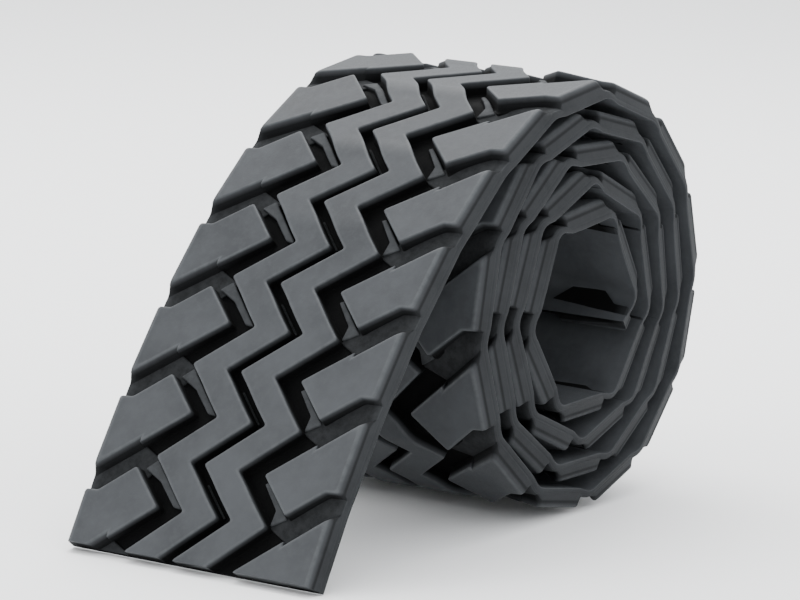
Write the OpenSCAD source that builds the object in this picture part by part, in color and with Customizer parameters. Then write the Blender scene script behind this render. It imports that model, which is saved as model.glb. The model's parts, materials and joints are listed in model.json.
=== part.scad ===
// Rolled rubber traction strip: a long moulded tread strip, wound into a coil with its free end
// reaching down to the floor. It is built as tread links that hinge on the thin web between them.
// Units are millimetres, +Z is up. The coil's axis lies along Y, and the free end points to -X.
// A link's own frame has x along the strip (away from the free end), y across it and z out of
// the tread, with x = 0 on the hinge line that the link shares with the one before it.

/* [Strip] */
// Length of one row of tread, from one hinge line to the next
pitch = 70; // [60:1:80]
// Width of the strip at its base
strip_w = 212; // [200:1:220]
// Thickness from the base face to the top of the tread
strip_t = 15; // [12:0.5:15]
// Number of links, counting the two short ones at the ends
link_count = 47; // [20:1:47]
// Length of the short link at the free end
free_end_l = 52.5; // [40:0.5:70]
// Length of the short link at the core
core_end_l = 24.5; // [20:0.5:70]

/* [Web] */
// Thickness of the web under the grooves
web_t = 4; // [3:0.5:6]
// Height of the thicker floor of the side grooves, near the shoulders
tie_t = 6; // [4:0.5:8]
// Width of that thicker floor, in from each shoulder
tie_w = 29; // [10:1:34]
// How far each shoulder leans in between the web and the top of the tread
shoulder_lean = 2; // [0:0.5:8]
// Gap between one link and the next, at the hinge
hinge_gap = 0.4; // [0.3:0.1:1]

/* [Tread] */
// How far the zigzag ribs swing to each side
zigzag = 18.5; // [10:0.5:20]
// Half the width of the narrow zigzag groove, measured across the strip
centre_groove = 5.3; // [3:0.1:8]
// Width of each zigzag rib, measured across the strip
rib_w = 30.2; // [20:0.1:32]
// Width of the wide zigzag grooves beside the lugs, measured across the strip
side_groove = 20.7; // [12:0.1:21]
// Height of the low ridge in the short legs of the wide grooves
ridge_h = 7; // [4.5:0.5:9]
// Width of that ridge, measured across the strip
ridge_w = 5; // [2:0.5:6]
// Gap between that ridge and the tread on its -Y side, measured across the strip
ridge_gap = 2; // [1:0.5:4]
// Depth of the step in each lug's long edge
jog = 3; // [0:0.5:5]
// How far each lug's tip reaches over the hinge line
tip_over = 7; // [0:0.5:10]

/* [Roll] */
// Radius of the hinge circle where the coil begins, on its outside
coil_r = 148.3; // [148:0.1:170]
// How much that radius shrinks with each full turn
coil_gap = 20.8; // [20.8:0.1:21.5]
// The hinge at which the coil begins, counted from the free end
coil_start = 7; // [5:1:8]
// Slope of the free end above the floor, in degrees
tail_angle = 60.7; // [58:0.1:61]
// Bend of the free end's hinges, in degrees
tail_flex = 3.3; // [3:0.1:3.4]
// Extra bend at the coil, fading towards the free end
tail_curl = 37.7; // [36:0.1:38]
// Share of that extra bend which each hinge passes on to the one before it
tail_ease = 0.47; // [0.45:0.01:0.48]

/* [Hidden] */
two_digits = 10;
rubber = [0.16, 0.165, 0.175];

half_w = strip_w / 2;
quarter = pitch / 4;
over = 20;            // how far cutting outlines run past the strip's sides
rib_out = centre_groove + rib_w;
lug_in = rib_out + side_groove;

// A lug's outline: its nose beside the rib, its heel, the heel's corner and its two shoulder ends
nose = [quarter, zigzag - lug_in];
leg_slope = zigzag / quarter;
heel = [-tip_over, nose.y - (quarter + tip_over) * leg_slope];
heel_end = 14;
heel_corner = [heel_end, heel.y - (heel_end + tip_over) * leg_slope];
shoulder_near = 15.5;
notch_w = 19.5;       // width of the notch between two lugs, at the shoulder
shoulder_far = pitch + shoulder_near - notch_w;
shoulder_y = -half_w - over;
jog_at = 0.55;        // where the step is, as a share of the long edge from nose to shoulder

// The coil's radius at a hinge, after so many degrees of winding, and the bend at that hinge
function coil_radius(wound) = coil_r - coil_gap * wound / 360;
function coil_bend(wound) = 2 * asin(pitch / 2 / coil_radius(wound));
function tail_bend(i) = tail_flex + tail_curl * pow(tail_ease, coil_start - i);
function bends(i, wound) =
    i == link_count ? []
    : i < coil_start ? concat([tail_bend(i)], bends(i + 1, 0))
    : concat([coil_bend(wound)], bends(i + 1, wound + coil_bend(wound)));
hinge_bend = concat([0], bends(1, 0));

// Direction of each link, and the hinge point at its start
function sum_to(list, i) = i < 0 ? 0 : list[i] + sum_to(list, i - 1);
heading = [for (i = [0:link_count - 1]) tail_angle - sum_to(hinge_bend, i)];
function along(a) = [cos(a), sin(a)];
function outward(a) = [-sin(a), cos(a)];
function hinge_points(i, p) =
    i == link_count ? []
    : concat([p], hinge_points(i + 1, p + pitch * along(heading[i])));
hinge = hinge_points(0, [0, 0]);

// The stretch of its own x that each link fills
function x_from(i) = i == 0 ? pitch - free_end_l : hinge_gap / 2;
function x_to(i) = i == link_count - 1 ? core_end_l : pitch - hinge_gap / 2;

// The origin goes to the middle of the whole object, on the floor
corners = [for (i = [0:link_count - 1], x = [x_from(i), x_to(i)], z = [0, strip_t])
    hinge[i] + x * along(heading[i]) + z * outward(heading[i])];
mid_x = (max([for (c = corners) c.x]) + min([for (c = corners) c.x])) / 2;
floor_z = min([for (c = corners) c.y]);

// Centreline of the zigzag at quarter k, where odd quarters are its corners
function zig(k) = [k * quarter, zigzag * ((k - 1) % 4 == 0 ? 1 : -1)];

// A zigzag band between two offsets across the strip
module zigzag_band(y_low, y_high) {
    low = [for (k = [-3:2:7]) zig(k) + [0, y_low]];
    high = [for (k = [-3:2:7]) zig(k) + [0, y_high]];
    polygon(concat(low, [for (k = [len(high) - 1:-1:0]) high[k]]));
}

// One lug, on the -Y side
module lug_outline() {
    edge_end = [shoulder_far + jog, -half_w];
    step = nose + jog_at * (edge_end - nose);
    polygon([nose, heel, heel_corner, [shoulder_near, shoulder_y], [shoulder_far, shoulder_y],
        edge_end - [jog, 0], step - [jog, 0], step]);
}

// Both sides' lugs, where the +Y ones are the -Y ones turned half round
module lug_outlines() {
    for (k = [-1:1]) translate([k * pitch, 0]) {
        lug_outline();
        translate([pitch, 0]) rotate(180) lug_outline();
    }
}

// Everything that reaches the top of the tread
module tread_outlines() {
    zigzag_band(centre_groove, rib_out);
    zigzag_band(-rib_out, -centre_groove);
    lug_outlines();
}

// Low ridges in the short legs of the wide grooves, each nearer its groove's -Y side
module ridge_outlines() {
    for (k = [0:1], groove_y = [-lug_in, rib_out])
        translate([k * pitch, groove_y + ridge_gap])
            polygon([zig(-1), zig(1), zig(1) + [0, ridge_w], zig(-1) + [0, ridge_w]]);
}

// The strip's section across its width, extruded along one link
module strip_section(i) {
    translate([x_from(i), 0, 0])
        rotate([90, 0, 90])
            linear_extrude(x_to(i) - x_from(i))
                polygon([
                    [-half_w, 0], [half_w, 0],
                    [half_w, web_t], [half_w - shoulder_lean, strip_t],
                    [shoulder_lean - half_w, strip_t], [-half_w, web_t]]);
}

module web() {
    translate([-pitch, -half_w, 0]) cube([3 * pitch, strip_w, web_t]);
    for (side = [-1, 1])
        translate([-pitch, side > 0 ? half_w - tie_w : -half_w, 0]) cube([3 * pitch, tie_w, tie_t]);
}

module tread_link(i) {
    color(rubber)
        translate([hinge[i].x - mid_x, 0, hinge[i].y - floor_z])
            rotate([0, -heading[i], 0])
                intersection() {
                    strip_section(i);
                    union() {
                        web();
                        linear_extrude(ridge_h) ridge_outlines();
                        linear_extrude(strip_t) tread_outlines();
                    }
                }
}

for (i = [0:link_count - 1])
    tread_link(i);
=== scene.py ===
"""Rolled rubber traction strip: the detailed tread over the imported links."""
import bpy, bmesh, json, math
import numpy as np
from mathutils import Matrix, Vector


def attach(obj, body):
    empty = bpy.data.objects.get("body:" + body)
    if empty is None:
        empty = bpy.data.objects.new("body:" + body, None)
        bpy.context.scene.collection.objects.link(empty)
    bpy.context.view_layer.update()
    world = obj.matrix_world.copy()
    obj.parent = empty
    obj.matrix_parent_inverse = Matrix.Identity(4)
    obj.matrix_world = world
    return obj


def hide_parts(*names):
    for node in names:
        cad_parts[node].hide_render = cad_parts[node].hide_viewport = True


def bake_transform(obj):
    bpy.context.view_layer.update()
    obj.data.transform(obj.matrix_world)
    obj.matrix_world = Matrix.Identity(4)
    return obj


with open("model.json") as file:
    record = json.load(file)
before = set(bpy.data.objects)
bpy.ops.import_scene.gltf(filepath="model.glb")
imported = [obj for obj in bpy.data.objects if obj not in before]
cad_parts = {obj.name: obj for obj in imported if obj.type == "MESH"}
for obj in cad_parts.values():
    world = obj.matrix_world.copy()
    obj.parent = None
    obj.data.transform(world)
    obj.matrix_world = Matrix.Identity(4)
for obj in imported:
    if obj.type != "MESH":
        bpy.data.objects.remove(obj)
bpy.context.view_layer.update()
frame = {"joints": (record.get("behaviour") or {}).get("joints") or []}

# ---- sizes, in mm ----
# The outlines are drawn for a strip 200 mm wide, and widened to the CAD's 212 mm by points_of().
PITCH = 70.0
HALF_W = 100.0        # half the width, as drawn
TOP = 15.0            # height of the tread's top over the base face
WEB = 4.0             # thickness of the web
SHELF = 6.0           # height of the raised floor near the shoulders
Q = PITCH / 4         # a quarter row: the zigzag has its corners at the odd quarters
ZIG = 17.5            # swing of the zigzag
RIB_IN, RIB_OUT = 5.0, 33.5    # where a rib begins and ends, out from the middle
FREE_END = 52.5       # length of the short row at the free end
CORE_END = 24.5       # length of the short row at the core
SKEW = 0.0593         # slope of the line through the two shoulder notches
MM = 0.001
WIDEN = 1.06          # from the drawn width to the real one


# ---- outlines ----
def ring(corners, insets, radii, steps):
    """The outline with each edge moved in by its inset and each corner rounded."""
    n = len(corners)
    lines = []
    for i in range(n):
        a, b = Vector(corners[i]), Vector(corners[(i + 1) % n])
        d = (b - a).normalized()
        lines.append((a + Vector((-d.y, d.x)) * insets[i], d))
    cut = []
    for i in range(n):
        (p, d), (q, e) = lines[i - 1], lines[i]
        det = d.x * e.y - d.y * e.x
        r = q - p
        cut.append(p + d * ((r.x * e.y - r.y * e.x) / det))
    out = []
    for i in range(n):
        c, u, v = cut[i], cut[i - 1] - cut[i], cut[(i + 1) % n] - cut[i]
        lu, lv = u.length, v.length
        u, v = u / lu, v / lv
        half = math.acos(max(-1, min(1, u.dot(v)))) / 2
        t = min(radii[i] / math.tan(half), 0.45 * lu, 0.45 * lv)
        a, b = c + u * t, c + v * t
        for k in range(steps + 1):
            s = k / steps
            out.append(a * (1 - s) ** 2 + c * (2 * s * (1 - s)) + b * s * s)
    return out


def loft(bm, wear_and_painted_light, corners, radii, levels, steps=3):
    """A closed block. Each level is (z, insets of the edges, wear and painted light)."""
    rows = []
    for z, insets, rubbed_and_painted_light in levels:
        row = []
        for p in ring(corners, insets, radii, steps):
            vert = bm.verts.new((p.x, p.y, z))
            vert[wear_and_painted_light] = rubbed_and_painted_light
            row.append(vert)
        rows.append(row)
    n = len(rows[0])
    for low, high in zip(rows, rows[1:]):
        for i in range(n):
            j = (i + 1) % n
            bm.faces.new((low[i], low[j], high[j], high[i]))
    bm.faces.new(list(reversed(rows[0])))
    bm.faces.new(rows[-1])


# ---- how far each kind of wall stands in at each height ----
def wall(z, top, root=1.2, floor=WEB, nose=1.2):
    inset = 0.0
    if z < floor + root:
        h = max(0.0, z - floor)
        inset = -root + math.sqrt(max(0.0, root**2 - (root - h) ** 2))
    else:
        inset = 0.05 * (z - floor - root)
    if z > top - nose:
        inset += nose - math.sqrt(max(0.0, nose**2 - (z - top + nose) ** 2))
    return inset


ROUND = 3.5           # radius of the tread's outer edge
LEAN = 0.28           # how far the side leans in for each mm that it rises
LEAN_FROM = 0.6       # height at which it starts to


def shoulder(z):
    """The strip's side: nearly upright, then rounded into the tread's top."""
    low = TOP - ROUND
    h = max(0.0, min(1.0, (z - low) / ROUND))
    return LEAN * max(0.0, min(z, low) - LEAN_FROM) + ROUND * (1 - math.sqrt(1 - h * h))


# Heights of the rings that make up a lug and a rib, closest together at the roots and rounded tops
LUG_Z = [1.5, 3.9, 4.2, 4.6, 5.2, 6.2, 7.4, 10.0, 11.5, 12.4, 13.1, 13.7, 14.2, 14.6, 14.85,
         14.96, 15.0]
RIB_Z = [1.5, 3.9, 4.2, 4.6, 5.2, 6.2, 12.8, 13.8, 14.2, 14.6, 14.88, 15.0]


def rub(z, top):
    """How scuffed the rubber is: most along the rounded top edges."""
    return max(0.0, min(1.0, (z - top + 1.1) / 0.7)) if z < top else 0.75


# ---- the parts of the tread, in the flat strip, about one hinge at x = 0 ----
def zigzag(k):
    return (k * Q, ZIG if (k - 1) % 4 == 0 else -ZIG)


def rib(bm, wear_and_painted_light, low_y, high_y):
    quarters = range(-7, 8, 2)
    low = [(zigzag(k)[0], zigzag(k)[1] + low_y) for k in quarters]
    high = [(zigzag(k)[0], zigzag(k)[1] + high_y) for k in quarters]
    corners = low + high[::-1]
    radii = [2.2] * len(corners)
    levels = [(z, [wall(z, TOP)] * len(corners), rub(z, TOP)) for z in RIB_Z]
    levels.append((TOP, [wall(TOP, TOP) + 1.0] * len(corners), 0.0))
    loft(bm, wear_and_painted_light, corners, radii, levels)


NOSE = (17.5, -35.5)
HEEL = (-9.0, -62.0)
HEEL_CORNER = (12.5, -86.0)
NEAR = (13.5, -HALF_W)
FAR = (71.0, -HALF_W)
EDGE_END = (75.0, -HALF_W)
STEP_AT = 0.5         # where the step in the long edge is, as a share from nose to shoulder
STEP_DEPTH = 4.0
STEP = (NOSE[0] + STEP_AT * (EDGE_END[0] - NOSE[0]), NOSE[1] + STEP_AT * (EDGE_END[1] - NOSE[1]))
FLANK_SLOPE = 0.3     # how far the outer half's wall stands out at its foot, for each mm of height
WEB_COVER = 4.3       # below this height a lug's side is held just inside the web's
CLEARANCE = 0.06


def lug(bm, wear_and_painted_light, turned):
    """The -Y lug of one link, or the +Y one, which is the same turned half round."""
    corners = [NOSE, HEEL, HEEL_CORNER, NEAR, FAR, (STEP[0] - STEP_DEPTH, STEP[1]), STEP]
    if turned:
        corners = [(PITCH - x, -y) for x, y in corners]
    radii = [2.0, 2.0, 5.0, 2.5, 2.5, 0.5, 0.5]

    def insets(z, extra=0.0):
        plain = wall(z, TOP)
        outer = wall(z, TOP, root=1.6, floor=SHELF - 0.5)
        middle = wall(z, TOP, root=1.4, floor=WEB + 0.5)
        side = shoulder(z) + (CLEARANCE if z < WEB_COVER else 0.0)
        sloped = outer - FLANK_SLOPE * (TOP - max(z, WEB))
        return [x + extra for x in (plain, middle, outer, side, sloped, plain, plain)]

    levels = [(z, insets(z), rub(z, TOP)) for z in LUG_Z]
    levels.append((TOP, insets(TOP, 1.0), 0.0))
    loft(bm, wear_and_painted_light, corners, radii, levels)


def low_block(bm, wear_and_painted_light, corners, top, radii, root=1.0, nose=0.8, side=None, painted_light=0.1):
    """A shelf or ridge lower than the tread. side is the index of an edge on the strip's side. Its
    upper part carries painted light, which lifts it out of the painted groove shade.
    """
    zs = [1.5, WEB - 0.1, WEB + 0.25 * root, WEB + root,
          top - nose, top - 0.5 * nose, top - 0.12 * nose, top]
    levels = []
    for i, z in enumerate(zs + [top]):
        inset = [wall(z, top, root=root, nose=nose) + (0.6 if i == len(zs) else 0.0)] * len(corners)
        if side is not None:
            inset[side] = (1.0, 1.0, 1.1, 1.5, 1.8, 2.7, 4.2, 6.0, 8.0)[i]
        levels.append((z, inset, painted_light if z > WEB + root else 0.0))
    loft(bm, wear_and_painted_light, corners, radii, levels)


def half_turn(points):
    return [(-x, -y) for x, y in points]


def web(bm, wear_and_painted_light):
    """The thin continuous sheet that carries the tread, with its upright sides."""
    half = [(99.4, 0.0), (99.85, 0.15), (100.0, 0.6), (99.5, 2.3), (99.1, 3.7), (98.8, 3.95),
            (98.1, 4.0), (96.5, 4.0), (60.0, 4.0), (30.0, 4.0)]
    section = half + [(0.0, 4.0)] + [(-y, z) for y, z in reversed(half)]
    rows = []
    for x in (-110.0, 110.0):
        row = []
        for y, z in section:
            vert = bm.verts.new((x, y, z))
            vert[wear_and_painted_light] = 0.0
            row.append(vert)
        rows.append(row)
    n = len(section)
    for i in range(n):
        j = (i + 1) % n
        bm.faces.new((rows[0][i], rows[1][i], rows[1][j], rows[0][j]))
    bm.faces.new(rows[0])
    bm.faces.new(list(reversed(rows[1])))


# The raised floor near a shoulder, the ridges of the wide grooves and the bar of the narrow one
SHELF_OUTLINE = [(-16.0, -48.0), (-29.0, -73.5), (-9.0, -HALF_W),
                 (21.0, -HALF_W), (21.0, -80.0), (-3.0, -56.5)]
RIDGE_RIGHT = [(-8.0, -60.2), (15.0, -37.2), (13.2, -34.2), (-3.5, -49.4), (-15.5, -48.5)]
RIDGE_LEFT = [(-15.0, 20.6), (17.0, 52.5), (9.0, 60.0), (1.5, 44.6), (-14.0, 28.6)]
BAR = [(-15.0, -13.3), (6.0, 7.6), (5.2, 9.2), (-15.8, -11.7)]


def cell():
    """Everything that bends at a hinge: the web, both ribs, the shelves and the ridges."""
    bm = bmesh.new()
    wear_and_painted_light = bm.verts.layers.float.new("wear_and_painted_light")
    web(bm, wear_and_painted_light)
    rib(bm, wear_and_painted_light, RIB_IN, RIB_OUT)
    rib(bm, wear_and_painted_light, -RIB_OUT, -RIB_IN)
    for k in (-1, 0, 1):
        def at(points):
            return [(x + k * PITCH, y) for x, y in points]
        # painted light: the upper parts of the shelves, ridges and bar below are painted lighter
        # than the groove shade around them, as if less shaded and catching glints
        for outline in (SHELF_OUTLINE, half_turn(SHELF_OUTLINE)):
            low_block(bm, wear_and_painted_light, at(outline), SHELF, [1.0] * 6, side=2, painted_light=0.27)
        low_block(bm, wear_and_painted_light, at(RIDGE_RIGHT), 7.6, [1.2, 0.8, 0.8, 3.0, 1.0], painted_light=0.5)
        low_block(bm, wear_and_painted_light, at(RIDGE_LEFT), 7.6, [1.5, 1.0, 1.0, 3.0, 1.5], painted_light=0.5)
        low_block(bm, wear_and_painted_light, at(BAR), 6.5, [0.4] * 4, root=0.3, nose=0.4, painted_light=0.25)
    return bm


def lugs():
    """The two lugs of one link, about the hinge line at its start."""
    bm = bmesh.new()
    wear_and_painted_light = bm.verts.layers.float.new("wear_and_painted_light")
    lug(bm, wear_and_painted_light, False)
    lug(bm, wear_and_painted_light, True)
    return bm


def crop(bm, low=None, high=None, capped=()):
    """Cuts the mesh off at x = low and x = high. A capped cut is closed with a flat face."""
    for x, side in ((low, "low"), (high, "high")):
        if x is None:
            continue
        everything = bm.verts[:] + bm.edges[:] + bm.faces[:]
        made = bmesh.ops.bisect_plane(
            bm, geom=everything, dist=1e-5, plane_co=(x, 0, 0), plane_no=(1, 0, 0),
            clear_inner=side == "low", clear_outer=side == "high")
        if side in capped:
            edges = [e for e in made["geom_cut"] if isinstance(e, bmesh.types.BMEdge)]
            bmesh.ops.holes_fill(bm, edges=edges, sides=0)
    return bm


def slice_zone(bm, reach):
    """Cuts the mesh into narrow slices where it bends, along the skewed line of the notches."""
    for t in np.linspace(-1, 1, 13):
        everything = bm.verts[:] + bm.edges[:] + bm.faces[:]
        bmesh.ops.bisect_plane(
            bm, geom=everything, dist=1e-5, plane_co=(t * reach, 0, 0), plane_no=(1, SKEW, 0))
    return bm


def to_mesh(bm, name):
    mesh = bpy.data.meshes.new(name)
    bm.to_mesh(mesh)
    bm.free()
    mesh.polygons.foreach_set("use_smooth", [True] * len(mesh.polygons))
    mesh.set_sharp_from_angle(angle=math.radians(55))
    return mesh


def points_of(mesh):
    co = np.zeros(len(mesh.vertices) * 3)
    mesh.vertices.foreach_get("co", co)
    return co.reshape(-1, 3) * (MM, MM * WIDEN, MM)


# ---- the chain of links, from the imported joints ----
joints = {j["name"]: j for j in frame["joints"]}
count = len(joints)
hinge = [None] + [np.array(joints["hinge_%02d" % i]["pos_m"]) for i in range(1, count + 1)]
bend = [0.0] + [math.radians(joints["hinge_%02d" % i]["range_deg"][1]) for i in range(1, count + 1)]
link = (["free_end_link"] + ["tread_link_%02d" % (i + 1) for i in range(1, count)]
        + ["core_end_link"])
heading = [0.0] * (count + 1)
for i in range(1, count):
    d = hinge[i + 1] - hinge[i]
    heading[i] = math.atan2(d[2], d[0])
for i in range(2, count):
    while heading[i] > heading[i - 1]:
        heading[i] -= 2 * math.pi
heading[0] = heading[1] + bend[1]
heading[count] = heading[count - 1] - bend[count]
hinge[0] = hinge[1] - PITCH * MM * np.array([math.cos(heading[0]), 0, math.sin(heading[0])])


def placed(flat, origin, angle):
    """Flat points in metres, put at a hinge and turned to a heading, which may differ per point."""
    c, s = np.cos(angle), np.sin(angle)
    return np.stack([origin[0] + flat[:, 0] * c - flat[:, 2] * s, flat[:, 1],
                     origin[2] + flat[:, 0] * s + flat[:, 2] * c], axis=1)


def along(angle):
    v = np.array([math.cos(angle), SKEW, math.sin(angle)])
    return v / np.linalg.norm(v)


def bent(flat, i, reach):
    middle = heading[i - 1] - bend[i] / 2
    d = along(middle)
    s, e = hinge[i] - reach * d, hinge[i] + reach * d
    low, high = np.zeros(len(flat)), np.ones(len(flat))
    for _ in range(45):
        w = (low + high) / 2
        p = placed(flat, hinge[i], heading[i - 1] - w * bend[i])
        t = np.clip((p - s) @ (e - s) / ((e - s) @ (e - s)), 0, 1)
        more = t * t * (3 - 2 * t) > w
        low, high = np.where(more, w, low), np.where(more, high, w)
    w = (low + high) / 2
    return placed(flat, hinge[i], heading[i - 1] - w * bend[i]), s, e


def add(mesh, name, co, flat, material):
    """One piece, with the place of every point in the flat strip kept for its material."""
    mesh = mesh.copy()
    mesh.name = name
    mesh.vertices.foreach_set("co", co.astype(np.float32).ravel())
    strip = mesh.attributes.new("strip", "FLOAT_VECTOR", "POINT")
    strip.data.foreach_set("vector", flat.astype(np.float32).ravel())
    mesh.materials.append(material)
    mesh.update()
    obj = bpy.data.objects.new(name, mesh)
    bpy.context.scene.collection.objects.link(obj)
    return obj


# ---- rubber ----
def rubber():
    mat = bpy.data.materials.new("moulded_rubber")
    mat.use_nodes = True
    tree = mat.node_tree
    nodes, links = tree.nodes, tree.links
    shader = nodes["Principled BSDF"]

    def node(kind, **values):
        n = nodes.new(kind)
        for key, value in values.items():
            if key.startswith("in_"):
                n.inputs[key[3:].replace("_", " ")].default_value = value
            else:
                setattr(n, key, value)
        return n

    def noise(scale, detail, roughness=0.6):
        n = node("ShaderNodeTexNoise", in_Scale=scale, in_Detail=detail, in_Roughness=roughness)
        links.new(strip.outputs["Vector"], n.inputs["Vector"])
        return n.outputs["Fac"]

    def ramp(value, low, high, to_low, to_high):
        n = node("ShaderNodeMapRange")
        names = ("From Min", "From Max", "To Min", "To Max")
        for key, v in zip(names, (low, high, to_low, to_high)):
            n.inputs[key].default_value = v
        links.new(value, n.inputs["Value"])
        return n.outputs["Result"]

    def mix(factor, a, b):
        n = node("ShaderNodeMix", data_type="RGBA")
        links.new(factor, n.inputs["Factor"])
        for socket, v in ((n.inputs[6], a), (n.inputs[7], b)):
            if isinstance(v, tuple):
                socket.default_value = v
            else:
                links.new(v, socket)
        return n.outputs[2]

    def math_node(kind, a, b):
        n = node("ShaderNodeMath", operation=kind)
        for socket, v in zip(n.inputs, (a, b)):
            if isinstance(v, (int, float)):
                socket.default_value = v
            else:
                links.new(v, socket)
        return n.outputs[0]

    strip = node("ShaderNodeAttribute", attribute_name="strip")
    # this attribute holds real wear along the rounded top edges and painted light on the shelves,
    # ridges and bar
    wear_and_painted_light = node("ShaderNodeAttribute", attribute_name="wear_and_painted_light")
    apart = node("ShaderNodeSeparateXYZ")
    links.new(strip.outputs["Vector"], apart.inputs[0])
    # painted_lightness is 0 for the near-black painted shade of the grooves and 1 for the paler
    # tops and outer faces
    painted_lightness = ramp(apart.outputs["Z"], 0.0095, 0.0143, 0.0, 1.0)
    # wear and painted light lift the colour out of the painted groove shade
    painted_lightness = math_node("MAXIMUM", painted_lightness, ramp(wear_and_painted_light.outputs["Fac"], 0.2, 0.7, 0.0, 0.8))
    across = math_node("ABSOLUTE", apart.outputs["Y"], 0.0)
    # painted light: far out from the middle, the raised floor and the walls above it are painted a
    # little lighter than the groove shade, as if less shaded
    flank_painted_light = math_node("MULTIPLY", ramp(across, 0.055, 0.072, 0.0, 0.14),
                      ramp(apart.outputs["Z"], 0.0045, 0.009, 0.0, 1.0))
    painted_lightness = math_node("MAXIMUM", painted_lightness, flank_painted_light)
    # painted shade: near the shoulder the colour is lifted a little out of the painted groove
    # shade, and on the strip's sides only halfway, so the lower sides are painted darker than the
    # tops
    shoulder_painted_light = ramp(across, 0.094, 0.101, 0.0, 0.25)
    sides_painted_half_shade = math_node("MAXIMUM", shoulder_painted_light, ramp(across, 0.1030, 0.1036, 0.0, 0.5))
    # the base face and its edges are kept near the top colour, out of the painted groove shade
    under = ramp(apart.outputs["Z"], 0.0002, 0.0012, 0.9, 0.0)
    painted_lightness = math_node("MAXIMUM", math_node("MAXIMUM", painted_lightness, sides_painted_half_shade), under)

    cloud = noise(18.0, 4.0)
    mottle = noise(160.0, 5.0, 0.7)
    pebble = noise(900.0, 3.0, 0.65)
    speck = noise(2600.0, 2.0, 0.5)

    # painted shade: the near-black colour painted into the grooves and onto their low walls
    painted_groove_shade = (0.0010, 0.0011, 0.0012, 1)
    body = (0.034, 0.0362, 0.0393, 1)
    pale = (0.050, 0.0532, 0.0573, 1)
    top = mix(ramp(cloud, 0.35, 0.65, 0.0, 1.0), body, pale)
    top = mix(ramp(mottle, 0.45, 0.75, 0.0, 0.45), top, (0.056, 0.0597, 0.0635, 1))
    colour = mix(painted_lightness, painted_groove_shade, top)
    # paler rubber along the worn rounded top edges, and painted light, like glints, on the upper
    # parts of the shelves, ridges and bar
    edge = math_node("MULTIPLY", wear_and_painted_light.outputs["Fac"], ramp(mottle, 0.3, 0.6, 0.25, 0.8))
    colour = mix(edge, colour, (0.068, 0.072, 0.0755, 1))
    links.new(colour, shader.inputs["Base Color"])

    rough = math_node("ADD", ramp(cloud, 0.3, 0.7, 0.42, 0.52), ramp(pebble, 0.3, 0.7, -0.04, 0.06))
    rough = math_node("ADD", rough, ramp(painted_lightness, 0.0, 1.0, 0.42, 0.0))
    links.new(rough, shader.inputs["Roughness"])
    shader.inputs["Specular IOR Level"].default_value = 0.1
    shader.inputs["Metallic"].default_value = 0.0

    grain = node("ShaderNodeBump", in_Strength=0.35, in_Distance=0.00025)
    links.new(pebble, grain.inputs["Height"])
    fine = node("ShaderNodeBump", in_Strength=0.25, in_Distance=0.0001)
    links.new(speck, fine.inputs["Height"])
    links.new(grain.outputs["Normal"], fine.inputs["Normal"])
    wave = node("ShaderNodeBump", in_Strength=0.3, in_Distance=0.0008)
    links.new(noise(45.0, 2.0), wave.inputs["Height"])
    links.new(fine.outputs["Normal"], wave.inputs["Normal"])
    links.new(wave.outputs["Normal"], shader.inputs["Normal"])
    return mat


material = rubber()

# ---- pieces that bend, one about each hinge ----
LEAST_REACH = 12.0    # how far to each side of a hinge the bend is spread, at the least
REACH_SHARE = 0.8     # and for sharper bends, as a share of the length that the top must open by
for i in range(1, count + 1):
    reach = max(LEAST_REACH, REACH_SHARE * TOP * bend[i])
    first, last = i == 1, i == count
    bm = crop(cell(), -FREE_END if first else -PITCH / 2, CORE_END if last else PITCH / 2,
              capped=("low",) if first else ("high",) if last else ())
    mesh = to_mesh(slice_zone(bm, reach), "cell")
    flat = points_of(mesh)
    co, s, e = bent(flat, i, reach * MM)
    obj = add(mesh, "ribs_and_web_%02d" % i, co, flat + [i * PITCH * MM, 0, 0], material)
    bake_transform(obj)
    bpy.data.meshes.remove(mesh)

# ---- lugs, which stay stiff and ride on their own link ----
for i in range(count + 1):
    first, last = i == 0, i == count
    bm = crop(lugs(), PITCH - FREE_END if first else None, CORE_END if last else None,
              capped=("low", "high"))
    mesh = to_mesh(bm, "lugs")
    flat = points_of(mesh)
    co = placed(flat, hinge[i], heading[i])
    obj = add(mesh, "lugs_%02d" % (i + 1), co, flat + [i * PITCH * MM, 0, 0], material)
    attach(obj, link[i])
    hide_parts(link[i])
    bpy.data.meshes.remove(mesh)

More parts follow.
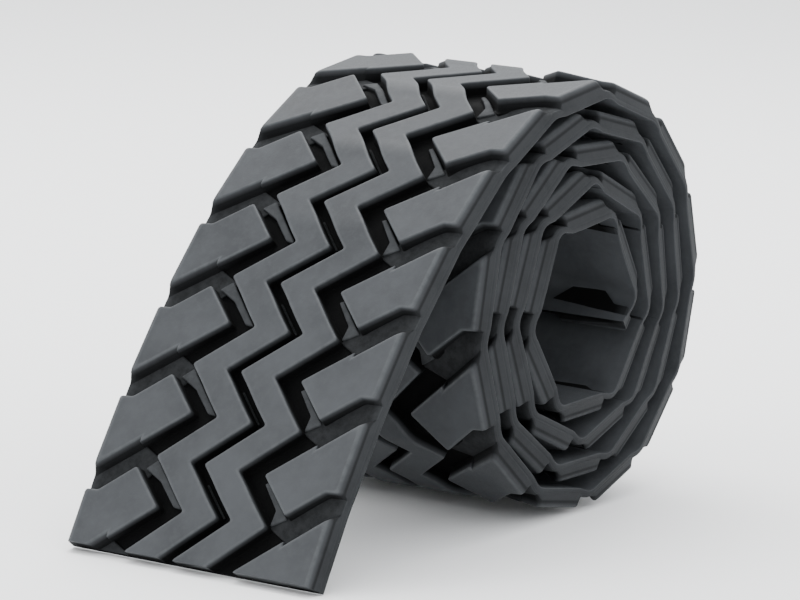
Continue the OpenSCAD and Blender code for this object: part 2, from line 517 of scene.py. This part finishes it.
# ---- studio ----
def plain(name, colour, roughness):
    mat = bpy.data.materials.new(name)
    mat.use_nodes = True
    shader = mat.node_tree.nodes["Principled BSDF"]
    shader.inputs["Base Color"].default_value = colour
    shader.inputs["Roughness"].default_value = roughness
    shader.inputs["Specular IOR Level"].default_value = 0.2
    return mat


floor_mesh = bpy.data.meshes.new("floor")
floor_mesh.from_pydata([(-14, -14, 0), (14, -14, 0), (14, 14, 0), (-14, 14, 0)], [], [(0, 1, 2, 3)])
floor_mesh.materials.append(plain("pale_floor", (0.93, 0.93, 0.93, 1), 0.7))
floor = bpy.data.objects.new("floor", floor_mesh)
bpy.context.scene.collection.objects.link(floor)
floor.location.z = -0.0005

world = bpy.data.worlds.new("studio")
bpy.context.scene.world = world
world.use_nodes = True
world.node_tree.nodes["Background"].inputs["Color"].default_value = (0.96, 0.98, 1.0, 1)
world.node_tree.nodes["Background"].inputs["Strength"].default_value = 1.9


def softbox(name, place, aim, size, power, colour=(1, 1, 1)):
    light = bpy.data.lights.new(name, "AREA")
    light.shape = "RECTANGLE"
    light.size, light.size_y = size
    light.energy = power
    light.color = colour
    obj = bpy.data.objects.new(name, light)
    bpy.context.scene.collection.objects.link(obj)
    obj.location = place
    obj.rotation_euler = (Vector(aim) - Vector(place)).to_track_quat("-Z", "Y").to_euler()


softbox("overhead", (0.9, 0.7, 2.3), (0, 0, 0.1), (2.6, 2.6), 110)
softbox("left_front", (-1.8, 1.5, 1.7), (-0.1, 0, 0.15), (1.4, 1.4), 22)
softbox("right", (1.5, -2.0, 1.0), (0.1, 0, 0.15), (1.2, 1.4), 8)

# ---- camera ----
data = bpy.data.cameras.new("camera")
data.lens = 221.2
data.sensor_width = 36
data.clip_end = 100
camera = bpy.data.objects.new("camera", data)
bpy.context.scene.collection.objects.link(camera)
right = Vector((0.563388, -0.825701, 0.028495))
down = Vector((-0.134899, -0.125961, -0.982821))
forward = Vector((0.815105, 0.549865, -0.182351))
turn = Matrix((right, -down, -forward)).transposed()
camera.matrix_world = Matrix.Translation((-2.86281, -1.93325, 0.79571)) @ turn.to_4x4()
bpy.context.scene.camera = camera
